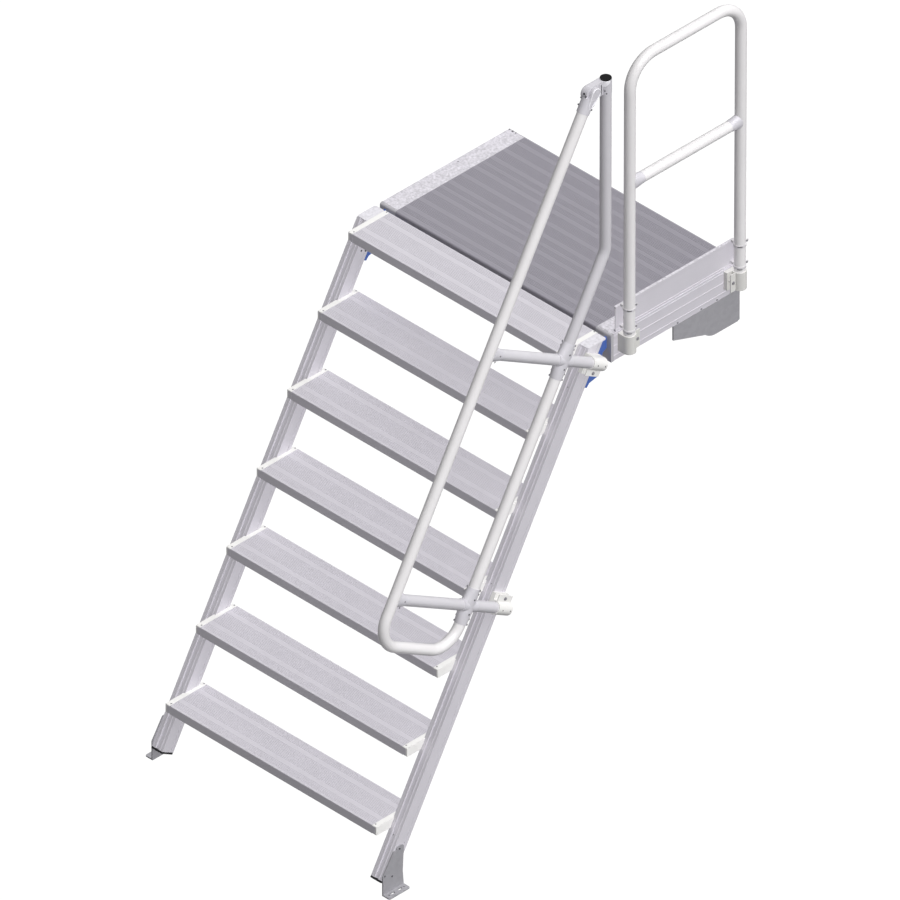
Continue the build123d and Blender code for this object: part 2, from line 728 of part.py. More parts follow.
# Tees where the crossbars meet the outer handrail
with BuildPart() as crossbar_tees:
    for along in (crossbar_lower, crossbar_upper):
        tee_y, tee_z = on_flight(along, handrail_outer)
        tee_plane = Plane(origin=(rail_x, tee_y, tee_z), x_dir=(1, 0, 0), z_dir=(0, slope_sin, -slope_cos))
        with BuildSketch(tee_plane.offset(tee_start)):
            Ellipse(tube_radius, tee_flare)
        with BuildSketch(tee_plane.offset(tee_end)):
            Circle(tube_radius)
        loft()
        tube_y, tube_z = on_flight(along - 2 * tee_flare, handrail_outer)
        tube_origin = (rail_x, tube_y, tube_z)
        with BuildSketch(Plane(origin=tube_origin, x_dir=(1, 0, 0), z_dir=(0, slope_cos, slope_sin))):
            Circle(tube_radius)
        extrude(amount=4 * tee_flare, mode=Mode.SUBTRACT)
write(crossbar_tees, "crossbar_tees")


# Clamps that hold the crossbars to the outer face of the right stringer
for along, way, level in ((crossbar_lower, 1, "lower"), (crossbar_upper, -1, "upper")):
    clamp_y, clamp_z = on_flight(along, crossbar_clamp_ahead - clamp_length / 2)
    clamp = pipe_clamp((rail_x, clamp_y, clamp_z), (0, -slope_sin, slope_cos), way)
    write(clamp, "crossbar_clamp_" + level)

# Black plugs in the lower ends of the guard posts and the rear ends of the crossbars
with BuildPart() as tube_plugs:
    with BuildSketch(Plane.XY.offset(post_bottom)):
        with Locations((rail_x, guard_front_y), (rail_x, guard_rear_y)):
            Circle(tube_radius)
    extrude(amount=-tube_plug_thickness)
    for along in (crossbar_lower, crossbar_upper):
        plug_y, plug_z = on_flight(along, crossbar_clamp_ahead - clamp_length)
        plug_origin = (rail_x, plug_y, plug_z)
        with BuildSketch(Plane(origin=plug_origin, x_dir=(1, 0, 0), z_dir=(0, slope_sin, -slope_cos))):
            Circle(tube_radius)
        extrude(amount=tube_plug_thickness)
write(tube_plugs, "tube_plugs")
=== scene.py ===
"""Looks of the platform stair: finishes, fasteners, small trim, studio and camera.

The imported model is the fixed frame, and every added piece rides on its one body. Places and sizes of pieces
are in millimetres in that frame: X across the stair, Y towards the wall, Z up.
"""

import logging
import math
from dataclasses import dataclass, field
from enum import Enum
from functools import cache
from typing import Iterable, Iterator

import bmesh
import bpy
from mathutils import Matrix, Vector


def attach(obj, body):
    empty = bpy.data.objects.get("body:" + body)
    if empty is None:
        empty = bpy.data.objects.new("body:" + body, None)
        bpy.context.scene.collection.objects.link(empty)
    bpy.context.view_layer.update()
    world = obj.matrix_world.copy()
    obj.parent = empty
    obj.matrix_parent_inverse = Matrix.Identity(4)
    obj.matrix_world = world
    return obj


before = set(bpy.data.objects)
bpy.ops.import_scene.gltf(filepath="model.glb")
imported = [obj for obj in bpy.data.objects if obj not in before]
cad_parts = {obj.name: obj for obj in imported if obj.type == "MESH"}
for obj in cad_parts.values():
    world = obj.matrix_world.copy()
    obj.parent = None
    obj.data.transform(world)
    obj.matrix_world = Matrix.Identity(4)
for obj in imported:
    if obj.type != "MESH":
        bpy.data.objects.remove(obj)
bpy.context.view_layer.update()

Point = tuple[float, float, float]
Pair = tuple[float, float]
Colour = tuple[float, float, float, float]
Node = bpy.types.Node
Socket = bpy.types.NodeSocket
Tree = bpy.types.NodeTree

LOG = logging.getLogger("platform_stair")
BODY = "root"
MM = 0.001
RIGHTWARD = (1.0, 0.0, 0.0)
UPWARD = (0.0, 0.0, 1.0)
SLOPE = math.radians(60.0)
FOOT_Y = -52.5
FOOT_Z = 62.5
RISER = 250.0
TREADS = 7
DECK_Z = TREADS * RISER
RIGHT_FACE = 1107.5
LEFT_FACE = 17.5
OUTER_SIDES = ((RIGHT_FACE, 1.0), (LEFT_FACE, -1.0))
RAIL_X = 1137.5
# Turn, in degrees from +X, of the stair's near corner, which the picture looks at.
CORNER_TURN = -45.0


def linear(colour: Point) -> Colour:
    """Turns a colour as seen on a screen into the linear values that a shader takes.

    Args:
        colour: Red, green and blue as seen, 0 to 255.

    Returns:
        Linear red, green, blue and a full alpha, by the standard curve of screens.
    """
    out = []
    for value in colour:
        share = value / 255.0
        out.append(share / 12.92 if share <= 0.04045 else ((share + 0.055) / 1.055) ** 2.4)
    return (*out, 1.0)


def brightened(colour: Colour, factor: float) -> Colour:
    """Multiplies a linear colour by a factor and keeps its alpha full."""
    red, green, blue = (min(value * factor, 1.0) for value in colour[:3])
    return (red, green, blue, 1.0)


def on_flight(along: float, ahead: float) -> Pair:
    """Gives Y and Z by the way up the slope from the stringer's foot and the height ahead of its front."""
    y = FOOT_Y + along * math.cos(SLOPE) - ahead * math.sin(SLOPE)
    return (y, FOOT_Z + along * math.sin(SLOPE) + ahead * math.cos(SLOPE))


def on_circle(first: float, second: float, radius: float, angle: float) -> Pair:
    """Gives the point of a circle round (first, second) at an angle, in radians, from the first axis."""
    return (first + radius * math.cos(angle), second + radius * math.sin(angle))


def spread(start: float, stop: float, steps: int) -> list[float]:
    """Gives evenly spaced values from start to stop, with both among them."""
    return [start + (stop - start) * index / steps for index in range(steps + 1)]


def mirrored(x: float) -> float:
    """Gives X of the same place on the other side of the stair."""
    return LEFT_FACE + RIGHT_FACE - x


class Graph:
    """Small helper that adds and feeds nodes in a material, the world or a node group."""

    column_width: int = 180

    def __init__(self, tree: Tree) -> None:
        """Keeps the tree that the nodes go into."""
        self.tree = tree
        self.column = 0

    @classmethod
    def cleared(cls, owner: bpy.types.ID) -> "Graph":
        """Empties a node tree to build on.

        Args:
            owner: The material or the world that has the tree.

        Returns:
            A graph on the tree.
        """
        owner.use_nodes = True
        owner.node_tree.nodes.clear()
        return cls(owner.node_tree)

    def add(self, kind: str, inputs: dict | None = None, **settings: object) -> Node:
        """Adds a node, sets its properties and feeds its inputs.

        Args:
            kind: The node's type name.
            inputs: A constant or an output socket for each input, by the input's name or number.
            **settings: Properties to set on the node.

        Returns:
            The new node.
        """
        node = self.tree.nodes.new(kind)
        node.location = (self.column, 0)
        self.column += self.column_width
        for name, value in settings.items():
            setattr(node, name, value)
        for name, value in (inputs or {}).items():
            if isinstance(value, Socket):
                self.tree.links.new(value, node.inputs[name])
            else:
                node.inputs[name].default_value = value
        return node

    def place(self) -> Socket:
        """Gives the piece's own coordinates, in metres."""
        return self.add("ShaderNodeTexCoord").outputs["Object"]

    def group(self, tree: Tree, inputs: dict[str, float]) -> Node:
        """Places a shared effect with a value for each input that is not left at its default."""
        return self.add("ShaderNodeGroup", inputs, node_tree=tree)

    def noise(self, place: Socket, scale: object, detail: float = 2.0, roughness: float = 0.5) -> Node:
        """Adds a cloudy noise. Detail is how many finer layers it has, and roughness how strong they are."""
        inputs = {"Vector": place, "Scale": scale, "Detail": detail, "Roughness": roughness}
        return self.add("ShaderNodeTexNoise", inputs)

    def maths(self, operation: str, *values: object) -> Socket:
        """Adds a Math node fed by numbers or sockets, in order, and gives its output."""
        return self.add("ShaderNodeMath", dict(enumerate(values)), operation=operation).outputs[0]

    def mix_colour(self, factor: object, first: object, second: object, blend: str = "MIX") -> Socket:
        """Adds a Mix node for two colours, fed by values or sockets, and gives the mixed colour."""
        # Several sockets of a Mix node share a name, so these go by their numbers.
        inputs = {0: factor, 6: first, 7: second}
        return self.add("ShaderNodeMix", inputs, data_type="RGBA", blend_type=blend).outputs[2]


class Effects:
    """The effects of the finishes as shader node groups, each built once for all its materials."""

    @staticmethod
    def start(name: str, inputs: dict[str, float], outputs: Iterable[str]) -> tuple[Graph, Node]:
        """Starts a group with its sockets.

        Args:
            name: The group's name.
            inputs: Default of each number that goes in, by name.
            outputs: Names of what comes out, a vector where it is a normal and else a number.

        Returns:
            A Graph on the group's tree and the group's input node.
        """
        tree = bpy.data.node_groups.new(name, "ShaderNodeTree")
        for label, default in inputs.items():
            socket = tree.interface.new_socket(name=label, in_out="INPUT", socket_type="NodeSocketFloat")
            socket.default_value = default
        for label in outputs:
            kind = "NodeSocketVector" if label == "Normal" else "NodeSocketFloat"
            tree.interface.new_socket(name=label, in_out="OUTPUT", socket_type=kind)
        graph = Graph(tree)
        return graph, graph.add("NodeGroupInput")

    @staticmethod
    def end(graph: Graph, results: dict[str, Socket]) -> Tree:
        """Feeds a group's outputs, by name, and gives its tree."""
        graph.add("NodeGroupOutput", results)
        return graph.tree

    @classmethod
    @cache
    def metal_grain(cls) -> Tree:
        """Builds drawn or brushed grain: fine streaks along one axis.

        Returns:
            The group's tree.
        """
        graph, given = cls.start(
            "metal_grain",
            {"Along X": 1.0, "Along Y": 1.0, "Along Z": 1.0, "Tilt": 0.0, "Fineness": 900.0},
            ("Streak",))
        turn = graph.add("ShaderNodeVectorRotate", {"Vector": graph.place(), "Angle": given.outputs["Tilt"]},
                         rotation_type="X_AXIS")
        scale = graph.add("ShaderNodeCombineXYZ",
                          {index: given.outputs["Along " + axis] for index, axis in enumerate("XYZ")})
        stretched = graph.add("ShaderNodeVectorMath", {0: turn.outputs[0], 1: scale.outputs[0]},
                              operation="MULTIPLY")
        streak = graph.noise(stretched.outputs[0], given.outputs["Fineness"], detail=4.0, roughness=0.6)
        return cls.end(graph, {"Streak": streak.outputs[0]})

    @classmethod
    @cache
    def fine_speckle(cls) -> Tree:
        """Builds the fine pitted grain of powder coat, cast alloy and moulded plastic, and slow clouds.

        Returns:
            The group's tree.
        """
        graph, given = cls.start("fine_speckle", {"Size": 1200.0}, ("Grain", "Cloud"))
        place = graph.place()
        grain = graph.noise(place, given.outputs["Size"])
        cloud = graph.noise(place, scale=11.0, detail=4.0)
        return cls.end(graph, {"Grain": grain.outputs[0], "Cloud": cloud.outputs[0]})

    @classmethod
    @cache
    def handling_wear(cls) -> Tree:
        """Builds thin bent scratches in scattered patches, as use leaves them.

        Returns:
            The group's tree.
        """
        scratches = 30.0
        bend_reach = 0.12
        patch_start = 0.56
        graph, given = cls.start("handling_wear", {"Amount": 0.5}, ("Mask",))
        place = graph.place()
        bend = graph.noise(place, scale=5.0)
        bent = graph.add("ShaderNodeVectorMath",
                         {0: bend.outputs["Color"], 1: (bend_reach, bend_reach, bend_reach), 2: place},
                         operation="MULTIPLY_ADD")
        cracks = graph.add("ShaderNodeTexVoronoi", {"Scale": scratches, "Vector": bent.outputs[0]},
                           feature="DISTANCE_TO_EDGE")
        thin = graph.add("ShaderNodeMapRange", {"Value": cracks.outputs["Distance"], "From Min": 0.0,
                                                "From Max": 0.02, "To Min": 1.0, "To Max": 0.0})
        patches = graph.maths("GREATER_THAN", graph.noise(place, scale=17.0).outputs[0], patch_start)
        masked = graph.maths("MULTIPLY", thin.outputs[0], patches)
        return cls.end(graph, {"Mask": graph.maths("MULTIPLY", masked, given.outputs["Amount"])})

    @classmethod
    @cache
    def soft_edges(cls) -> Tree:
        """Builds a rounded normal and a mask of the sharp edges, for the painted highlight that lightens
        them.

        Returns:
            The group's tree.
        """
        graph, given = cls.start("soft_edges", {"Radius": 0.0015}, ("Normal", "Highlight"))
        rounded = graph.add("ShaderNodeBevel", {"Radius": given.outputs["Radius"]}, samples=4)
        flat = graph.add("ShaderNodeNewGeometry")
        likeness = graph.add("ShaderNodeVectorMath", {0: rounded.outputs[0], 1: flat.outputs["Normal"]},
                             operation="DOT_PRODUCT")
        edge_highlight = graph.add("ShaderNodeMapRange",
                         {"Value": likeness.outputs["Value"], "From Min": 0.99, "From Max": 0.8})
        return cls.end(graph, {"Normal": rounded.outputs[0], "Highlight": edge_highlight.outputs[0]})

    @classmethod
    @cache
    def zinc_flakes(cls) -> Tree:
        """Builds the crystal flakes of hot-dip zinc.

        Returns:
            The group's tree.
        """
        graph, given = cls.start("zinc_flakes", {"Scale": 90.0}, ("Flake",))
        cells = graph.add("ShaderNodeTexVoronoi", {"Scale": given.outputs["Scale"], "Vector": graph.place()})
        grey = graph.add("ShaderNodeRGBToBW", {0: cells.outputs["Color"]})
        return cls.end(graph, {"Flake": grey.outputs[0]})

    @classmethod
    @cache
    def top_grit(cls) -> Tree:
        """Builds the coarse non-slip grit on faces that look straight up.

        Returns:
            The group's tree.
        """
        level_enough = 0.97
        graph, given = cls.start("top_grit", {"Amount": 0.1}, ("Tone",))
        grains = graph.noise(graph.place(), scale=130.0, detail=1.0)
        shape = graph.add("ShaderNodeNewGeometry")
        parts = graph.add("ShaderNodeSeparateXYZ", {0: shape.outputs["Normal"]})
        level = graph.maths("GREATER_THAN", parts.outputs["Z"], level_enough)
        centred = graph.maths("SUBTRACT", grains.outputs[0], 0.5)
        scaled = graph.maths("MULTIPLY", centred, given.outputs["Amount"])
        masked = graph.maths("MULTIPLY", scaled, level)
        return cls.end(graph, {"Tone": graph.maths("ADD", masked, 1.0)})

    @classmethod
    @cache
    def groove_painted_light(cls) -> Tree:
        """Builds a painted light that brightens the fine grooves just under the top of each tread and of the
        deck, against the shade that falls in them.

        Returns:
            The group's tree.
        """
        lowest, highest = 0.994, 0.9995
        graph, given = cls.start("groove_painted_light", {"Amount": 0.3}, ("Tone",))
        parts = graph.add("ShaderNodeSeparateXYZ", {0: graph.place()})
        share = graph.maths("FRACT", graph.maths("DIVIDE", parts.outputs["Z"], RISER * MM))
        above = graph.maths("GREATER_THAN", share, lowest)
        below = graph.maths("LESS_THAN", share, highest)
        painted_lift = graph.maths("MULTIPLY", graph.maths("MULTIPLY", above, below), given.outputs["Amount"])
        return cls.end(graph, {"Tone": graph.maths("ADD", painted_lift, 1.0)})


STREAK_STRETCH = 0.012


class Grain(Enum):
    """Which way the fine grain of a finish runs, as the inputs of the grain effect that say so."""

    SLOPE = {"Along Y": STREAK_STRETCH, "Tilt": -SLOPE}
    ACROSS = {"Along X": STREAK_STRETCH}
    INWARD = {"Along Y": STREAK_STRETCH}
    NONE = None


GRAIN_FINENESS = 700.0
GRAIN_AMOUNT = 0.05
GRAIN_RELIEF = 0.6
FLAKE_FINENESS = 85.0
DARKER = 0.82
LIGHTER = 1.12
CLOUD_SHARE = 0.25
CLOUD_ROUGHNESS = 0.16
WEAR_ROUGHNESS = 0.3
COAT_ROUGHNESS = 0.25
# In metres, as shaders take lengths.
EDGE_RADIUS = 0.0012
BUMP_DEPTH = 0.0006


@dataclass(frozen=True)
class Finish:
    """One surface finish. Colours are as seen on a screen, 0 to 255."""

    name: str
    colour: Point
    roughness: float
    metallic: float = 0.0
    grain: Grain = Grain.NONE
    speckle: float = 0.02
    speckle_size: float = 1200.0
    bump: float = 0.05
    wear: float = 0.1
    # Share of painted highlight that lightens the sharp edges.
    edge_highlight: float = 0.15
    coat: float = 0.0
    flakes: float = 0.0
    top_grit: float = 0.0
    specular: float = 0.5
    # Share of painted light that brightens the shade in the grooves just under the top.
    groove_painted_light: float = 0.0

    @staticmethod
    def swing(graph: Graph, pattern: Socket, amount: float) -> Socket:
        """Turns a pattern of 0 to 1 into a tone that swings about 1 by the amount."""
        return graph.maths("MULTIPLY_ADD", pattern, amount * 2.0, 1.0 - amount)

    def grained(self, graph: Graph, speckle: Socket) -> tuple[Socket, Socket]:
        """Builds the fine light and dark of the surface and the relief that goes with it.

        Args:
            graph: The material's graph.
            speckle: The fine speckle's grain.

        Returns:
            The tone, about 1, and the relief's height.
        """
        tones = [self.swing(graph, speckle, self.speckle)]
        height = speckle
        if self.grain is not Grain.NONE:
            metal = graph.group(Effects.metal_grain(), {**self.grain.value, "Fineness": GRAIN_FINENESS})
            tones.append(self.swing(graph, metal.outputs["Streak"], GRAIN_AMOUNT))
            height = graph.maths("MULTIPLY_ADD", metal.outputs["Streak"], GRAIN_RELIEF, height)
        if self.top_grit > 0.0:
            tones.append(graph.group(Effects.top_grit(), {"Amount": self.top_grit}).outputs["Tone"])
        # Painted light that brightens the grooves just under the top of treads and deck.
        if self.groove_painted_light > 0.0:
            tones.append(graph.group(Effects.groove_painted_light(), {"Amount": self.groove_painted_light}).outputs["Tone"])
        if self.flakes > 0.0:
            zinc = graph.group(Effects.zinc_flakes(), {"Scale": FLAKE_FINENESS})
            tones.append(self.swing(graph, zinc.outputs["Flake"], self.flakes))
        tone = tones[0]
        for following in tones[1:]:
            tone = graph.maths("MULTIPLY", tone, following)
        return tone, height

    def material(self) -> bpy.types.Material:
        """Builds the finish as a node material the first time.

        Returns:
            The material, the same one each time.
        """
        found = bpy.data.materials.get("finish_" + self.name)
        if found is not None:
            return found
        made = bpy.data.materials.new("finish_" + self.name)
        graph = Graph.cleared(made)
        base = linear(self.colour)
        dark = brightened(base, DARKER)
        light = brightened(base, LIGHTER)
        speckle = graph.group(Effects.fine_speckle(), {"Size": self.speckle_size})
        edges = graph.group(Effects.soft_edges(), {"Radius": EDGE_RADIUS})
        wear = graph.group(Effects.handling_wear(), {"Amount": self.wear})
        cloud = speckle.outputs["Cloud"]
        tone, height = self.grained(graph, speckle.outputs["Grain"])
        shade = graph.add("ShaderNodeCombineColor", {0: tone, 1: tone, 2: tone})
        colour = graph.mix_colour(CLOUD_SHARE, base, graph.mix_colour(cloud, dark, light))
        colour = graph.mix_colour(1.0, colour, shade.outputs[0], "MULTIPLY")
        # Painted highlight: sharp edges are mixed towards the lighter colour, as if they caught the light.
        colour = graph.mix_colour(graph.maths("MULTIPLY", edges.outputs["Highlight"], self.edge_highlight), colour, light)
        colour = graph.mix_colour(wear.outputs["Mask"], colour, dark)
        rough = graph.maths("MULTIPLY_ADD", cloud, CLOUD_ROUGHNESS, self.roughness - CLOUD_ROUGHNESS / 2.0)
        rough = graph.maths("MULTIPLY_ADD", wear.outputs["Mask"], WEAR_ROUGHNESS, rough)
        bump = graph.add("ShaderNodeBump", {"Strength": self.bump, "Distance": BUMP_DEPTH, "Height": height,
                                            "Normal": edges.outputs["Normal"]})
        shader = graph.add("ShaderNodeBsdfPrincipled", {
            "Base Color": colour, "Roughness": rough, "Normal": bump.outputs[0], "Metallic": self.metallic,
            "Coat Weight": self.coat, "Coat Roughness": COAT_ROUGHNESS, "Specular IOR Level": self.specular})
        graph.add("ShaderNodeOutputMaterial", {"Surface": shader.outputs[0]})
        return made


STRINGER = Finish("stringer_aluminium", (208, 205, 212), roughness=0.42, metallic=0.1, grain=Grain.SLOPE,
                  edge_highlight=0.35)
TREAD = Finish("tread_aluminium", (202, 199, 206), roughness=0.48, metallic=0.1, grain=Grain.ACROSS,
               wear=0.25, edge_highlight=0.2, groove_painted_light=0.12)
DECK = Finish("deck_aluminium", (145, 142, 151), roughness=0.5, metallic=0.1, grain=Grain.ACROSS,
              wear=0.25, groove_painted_light=0.2)
END_CAP = Finish("grey_end_cap", (178, 176, 181), roughness=0.55, speckle=0.04, edge_highlight=0.2, top_grit=1.2)
BEAM = Finish("beam_aluminium", (206, 203, 210), roughness=0.42, metallic=0.1, grain=Grain.INWARD, edge_highlight=0.35,
              top_grit=0.9)
ZINC = Finish("galvanised_steel", (160, 159, 164), roughness=0.5, metallic=0.15, flakes=0.06, edge_highlight=0.3)
CAST = Finish("fitting_alloy", (205, 203, 209), roughness=0.5, metallic=0.1, speckle=0.05, speckle_size=900.0,
              edge_highlight=0.2)
RAIL = Finish("rail_tube", (226, 224, 225), roughness=0.33, speckle_size=1600.0, bump=0.02, edge_highlight=0.1,
              coat=0.15)
POST = Finish("post_tube", (200, 198, 203), roughness=0.38, speckle_size=1600.0, bump=0.02, edge_highlight=0.1,
              coat=0.1)
CAP = Finish("cap_plastic", (232, 231, 229), roughness=0.5, speckle_size=1800.0, edge_highlight=0.1)
COVER = Finish("cover_plate", (212, 210, 216), roughness=0.5, speckle_size=1800.0, edge_highlight=0.1, top_grit=0.5)
CLAMP = Finish("clamp_plastic", (226, 225, 223), roughness=0.5, speckle_size=1500.0, bump=0.06, edge_highlight=0.1)
POST_CLAMP = Finish("post_clamp_plastic", (208, 207, 204), roughness=0.5, speckle_size=1500.0, bump=0.06,
                    edge_highlight=0.1)
# A lighter alloy for the elbow's lip and rim, which are painted highlights.
HIGHLIGHT_ALLOY = Finish("painted_highlight_alloy", (232, 231, 236), roughness=0.35, speckle=0.03, edge_highlight=0.1)
CLIP = Finish("clip_aluminium", (204, 202, 205), roughness=0.45, speckle_size=1500.0, edge_highlight=0.05)
BLACK = Finish("black_plastic", (14, 14, 15), roughness=0.6, speckle=0.08, bump=0.1, edge_highlight=0.2, specular=0.15)
RUBBER = Finish("foot_rubber", (44, 44, 46), roughness=0.7, speckle=0.08, bump=0.1, edge_highlight=0.2, specular=0.2)
BLUE = Finish("blue_steel", (72, 102, 176), roughness=0.4, speckle=0.03, coat=0.2, edge_highlight=0.2)
SCREW = Finish("zinc_screw", (150, 149, 154), roughness=0.35, metallic=0.5, speckle=0.05, edge_highlight=0.3)
# Dark screws, and also the painted shade in the elbow's joint and in the gaps of the toe-board clips.
DARK_SCREW_AND_SHADE = Finish("dark_screw_and_shade", (88, 87, 92), roughness=0.4, metallic=0.5, speckle=0.05, edge_highlight=0.3)


def dress(nodes: Iterable[str], finish: Finish) -> None:
    """Gives carried-over nodes a finish through their material slots.

    Args:
        nodes: Names of the CAD nodes.
        finish: The finish that they take.
    """
    for name in nodes:
        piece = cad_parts[name]
        if not piece.material_slots:
            piece.data.materials.append(finish.material())
        for slot in piece.material_slots:
            slot.material = finish.material()
        LOG.info("dressed %s with %s", name, finish.name)


def settle(piece: bpy.types.Object, finish: Finish) -> None:
    """Links a new piece into the scene, dresses it and lets it ride.

    Args:
        piece: The new object.
        finish: Its finish.
    """
    bpy.context.scene.collection.objects.link(piece)
    piece.data.materials.append(finish.material())
    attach(piece, BODY)
    LOG.info("made %s", piece.name)


@dataclass(frozen=True)
class HeadPart:
    """Part of a head: rings as shares of its radius and height, how many sides, and whether it is sunk."""

    rings: tuple[Pair, ...]
    sides: int
    sunk: bool


class Head(Enum):
    """Kinds of fastener head, by their parts."""

    HEX = (HeadPart(((1.28, 0.22), (1.18, 0.3)), 24, True),
           HeadPart(((1.0, 0.28), (1.0, 0.86), (0.86, 1.0)), 6, False))
    SOCKET = (HeadPart(((1.0, 0.7), (0.86, 1.0), (0.5, 1.0), (0.46, 0.35)), 18, True),)


@dataclass(frozen=True)
class HeadSize:
    """How wide and how high a bolt or screw head is, and its kind."""

    radius: float
    height: float
    kind: Head = Head.SOCKET


HEAD_SINK = 0.6


@dataclass
class Trim:
    """One added piece, made of closed shells, with its finish and the record's slot."""

    name: str
    finish: Finish
    slot: str = "galvanised_steel"
    shape: bmesh.types.BMesh = field(default_factory=bmesh.new)

    def shell(self, rings: list[list[Point]], looped: bool = False) -> None:
        """Skins rings of points one after another.

        Args:
            rings: The rings, each with the same number of points.
            looped: Whether the last ring joins the first, or both ends are closed.
        """
        made = [[self.shape.verts.new(Vector(point) * MM) for point in ring] for ring in rings]
        onward = made[1:] + made[:1] if looped else made[1:]
        for low, high in zip(made, onward):
            for index in range(len(low)):
                after = (index + 1) % len(low)
                self.shape.faces.new((low[index], low[after], high[after], high[index]))
        if not looped:
            self.shape.faces.new(list(reversed(made[0])))
            self.shape.faces.new(made[-1])

    def head(self, place: Point, facing: Point, size: HeadSize) -> None:
        """Adds one bolt or screw head.

        Args:
            place: Middle of its seat.
            facing: The way it looks.
            size: Its size and kind.
        """
        turn = Vector(facing).to_track_quat("Z", "Y").to_matrix().to_4x4()
        pose = Matrix.Translation(Vector(place)) @ turn
        for part in size.kind.value:
            levels = [(size.radius * wide, size.height * high) for wide, high in part.rings]
            if part.sunk:
                levels.insert(0, (levels[0][0], -HEAD_SINK))
            rings = []
            for radius, height in levels:
                corners = (on_circle(0.0, 0.0, radius, math.tau * index / part.sides)
                           for index in range(part.sides))
                rings.append([tuple(pose @ Vector((x, y, height))) for x, y in corners])
            self.shell(rings)

    def complete(self, smooth: bool = False) -> None:
        """Turns the shells into a dressed piece that rides on the body.

        Args:
            smooth: Whether its faces are shaded as one round surface.
        """
        bmesh.ops.recalc_face_normals(self.shape, faces=self.shape.faces)
        mesh = bpy.data.meshes.new(self.name)
        self.shape.to_mesh(mesh)
        self.shape.free()
        for face in mesh.polygons:
            face.use_smooth = smooth
        settle(bpy.data.objects.new(self.name, mesh), self.finish)


@dataclass
class Flight:
    """Stringers, treads, their end caps and the floor brackets."""

    going: float = 144.338
    nose_y: float = -30.849
    # X of the left and of the right screw, and their way behind the nosing.
    cap_screw_rows: tuple[Point, ...] = ((77.5, 1047.5, 12.0), (73.5, 1051.5, 170.6))
    cap_screw: HeadSize = HeadSize(3.0, 0.8)
    # X of the two ends of each lip, on the tread's end caps.
    lip_ends: tuple[Pair, ...] = ((68.2, 82.5), (1042.5, 1056.8))
    lip_low: float = 33.0
    lip_high: float = 2.6
    lip_sink: float = 0.4
    lip_proud: float = 0.25
    lip_bevel: float = 0.4
    # Way up the slope and height ahead of the stringer, on its inner faces.
    joint_bolts: tuple[Pair, ...] = ((1843.7, -26.1), (1845.0, -47.7))
    joint_bolt: HeadSize = HeadSize(3.4, 1.6)
    inner_sides: tuple[Pair, ...] = ((67.5, 1.0), (1057.5, -1.0))
    groove_screws: Point = (160.0, 1080.0, 1798.0)
    groove_screw: HeadSize = HeadSize(2.2, 2.0)
    groove_x: float = 1082.5
    groove_depth: float = 5.0
    # Y and Z on the outer face of each bracket's plate.
    bracket_bolts: tuple[Pair, ...] = ((28.9, 157.2), (-41.3, 79.6), (-7.4, 62.6))
    bracket_bolt: HeadSize = HeadSize(3.4, 2.0)
    bracket_plate: float = 5.0

    def nosings(self) -> Iterator[Pair]:
        """Gives Y of the front and Z of the top of each tread, from the lowest up."""
        for index in range(TREADS):
            yield self.nose_y + index * self.going, (index + 1) * RISER

    def dress(self) -> None:
        """Dresses the CAD nodes of the flight."""
        dress(("stringer_left", "stringer_right"), STRINGER)
        dress([f"tread_{number}" for number in range(1, TREADS + 1)], TREAD)
        dress(("tread_end_caps_left", "tread_end_caps_right"), CAP)
        dress(("stringer_top_caps",), COVER)
        dress(("stringer_foot_caps",), RUBBER)
        dress(("foot_bracket_left", "foot_bracket_right"), ZINC)

    def cap_screws(self) -> None:
        """Makes the two small screws in the top of each tread end cap."""
        screws = Trim("tread_cap_screws", SCREW)
        for front, level in self.nosings():
            for left, right, behind in self.cap_screw_rows:
                for x in (left, right):
                    screws.head((x, front + behind, level), UPWARD, self.cap_screw)
        screws.complete()

    def cap_front_lips(self) -> None:
        """Makes the thin metal lips that carry each tread's front edge across its end caps."""
        for side, ends in zip(("left", "right"), self.lip_ends):
            lips = Trim("tread_front_lips_" + side, TREAD, "tread_aluminium")
            for front, level in self.nosings():
                low, high = level - self.lip_low, level - self.lip_high
                section = ((self.lip_sink, low), (-self.lip_proud, low + self.lip_bevel),
                           (-self.lip_proud, high - self.lip_bevel), (self.lip_sink, high))
                lips.shell([[(x, front + behind, z) for behind, z in section] for x in ends])
            lips.complete()

    def joint_bolt_heads(self) -> None:
        """Makes the two bolts through each stringer's inner face that hold its joining plate."""
        bolts = Trim("joining_plate_bolts", DARK_SCREW_AND_SHADE)
        for face, way in self.inner_sides:
            for along, ahead in self.joint_bolts:
                y, z = on_flight(along, ahead)
                bolts.head((face, y, z), (way, 0.0, 0.0), self.joint_bolt)
        bolts.complete()

    def groove_screw_heads(self) -> None:
        """Makes the screws down in the front groove of the right stringer."""
        screws = Trim("stringer_groove_screws", SCREW)
        facing = (0.0, -math.sin(SLOPE), math.cos(SLOPE))
        for along in self.groove_screws:
            y, z = on_flight(along, -self.groove_depth)
            screws.head((self.groove_x, y, z), facing, self.groove_screw)
        screws.complete()

    def bracket_bolt_heads(self) -> None:
        """Makes the three bolts that hold each floor bracket to its stringer."""
        bolts = Trim("foot_bracket_bolts", DARK_SCREW_AND_SHADE)
        for face, way in OUTER_SIDES:
            for y, z in self.bracket_bolts:
                bolts.head((face + way * self.bracket_plate, y, z), (way, 0.0, 0.0), self.bracket_bolt)
        bolts.complete()

    def build(self) -> None:
        """Dresses and completes the flight."""
        self.dress()
        self.cap_screws()
        self.cap_front_lips()
        self.joint_bolt_heads()
        self.groove_screw_heads()
        self.bracket_bolt_heads()


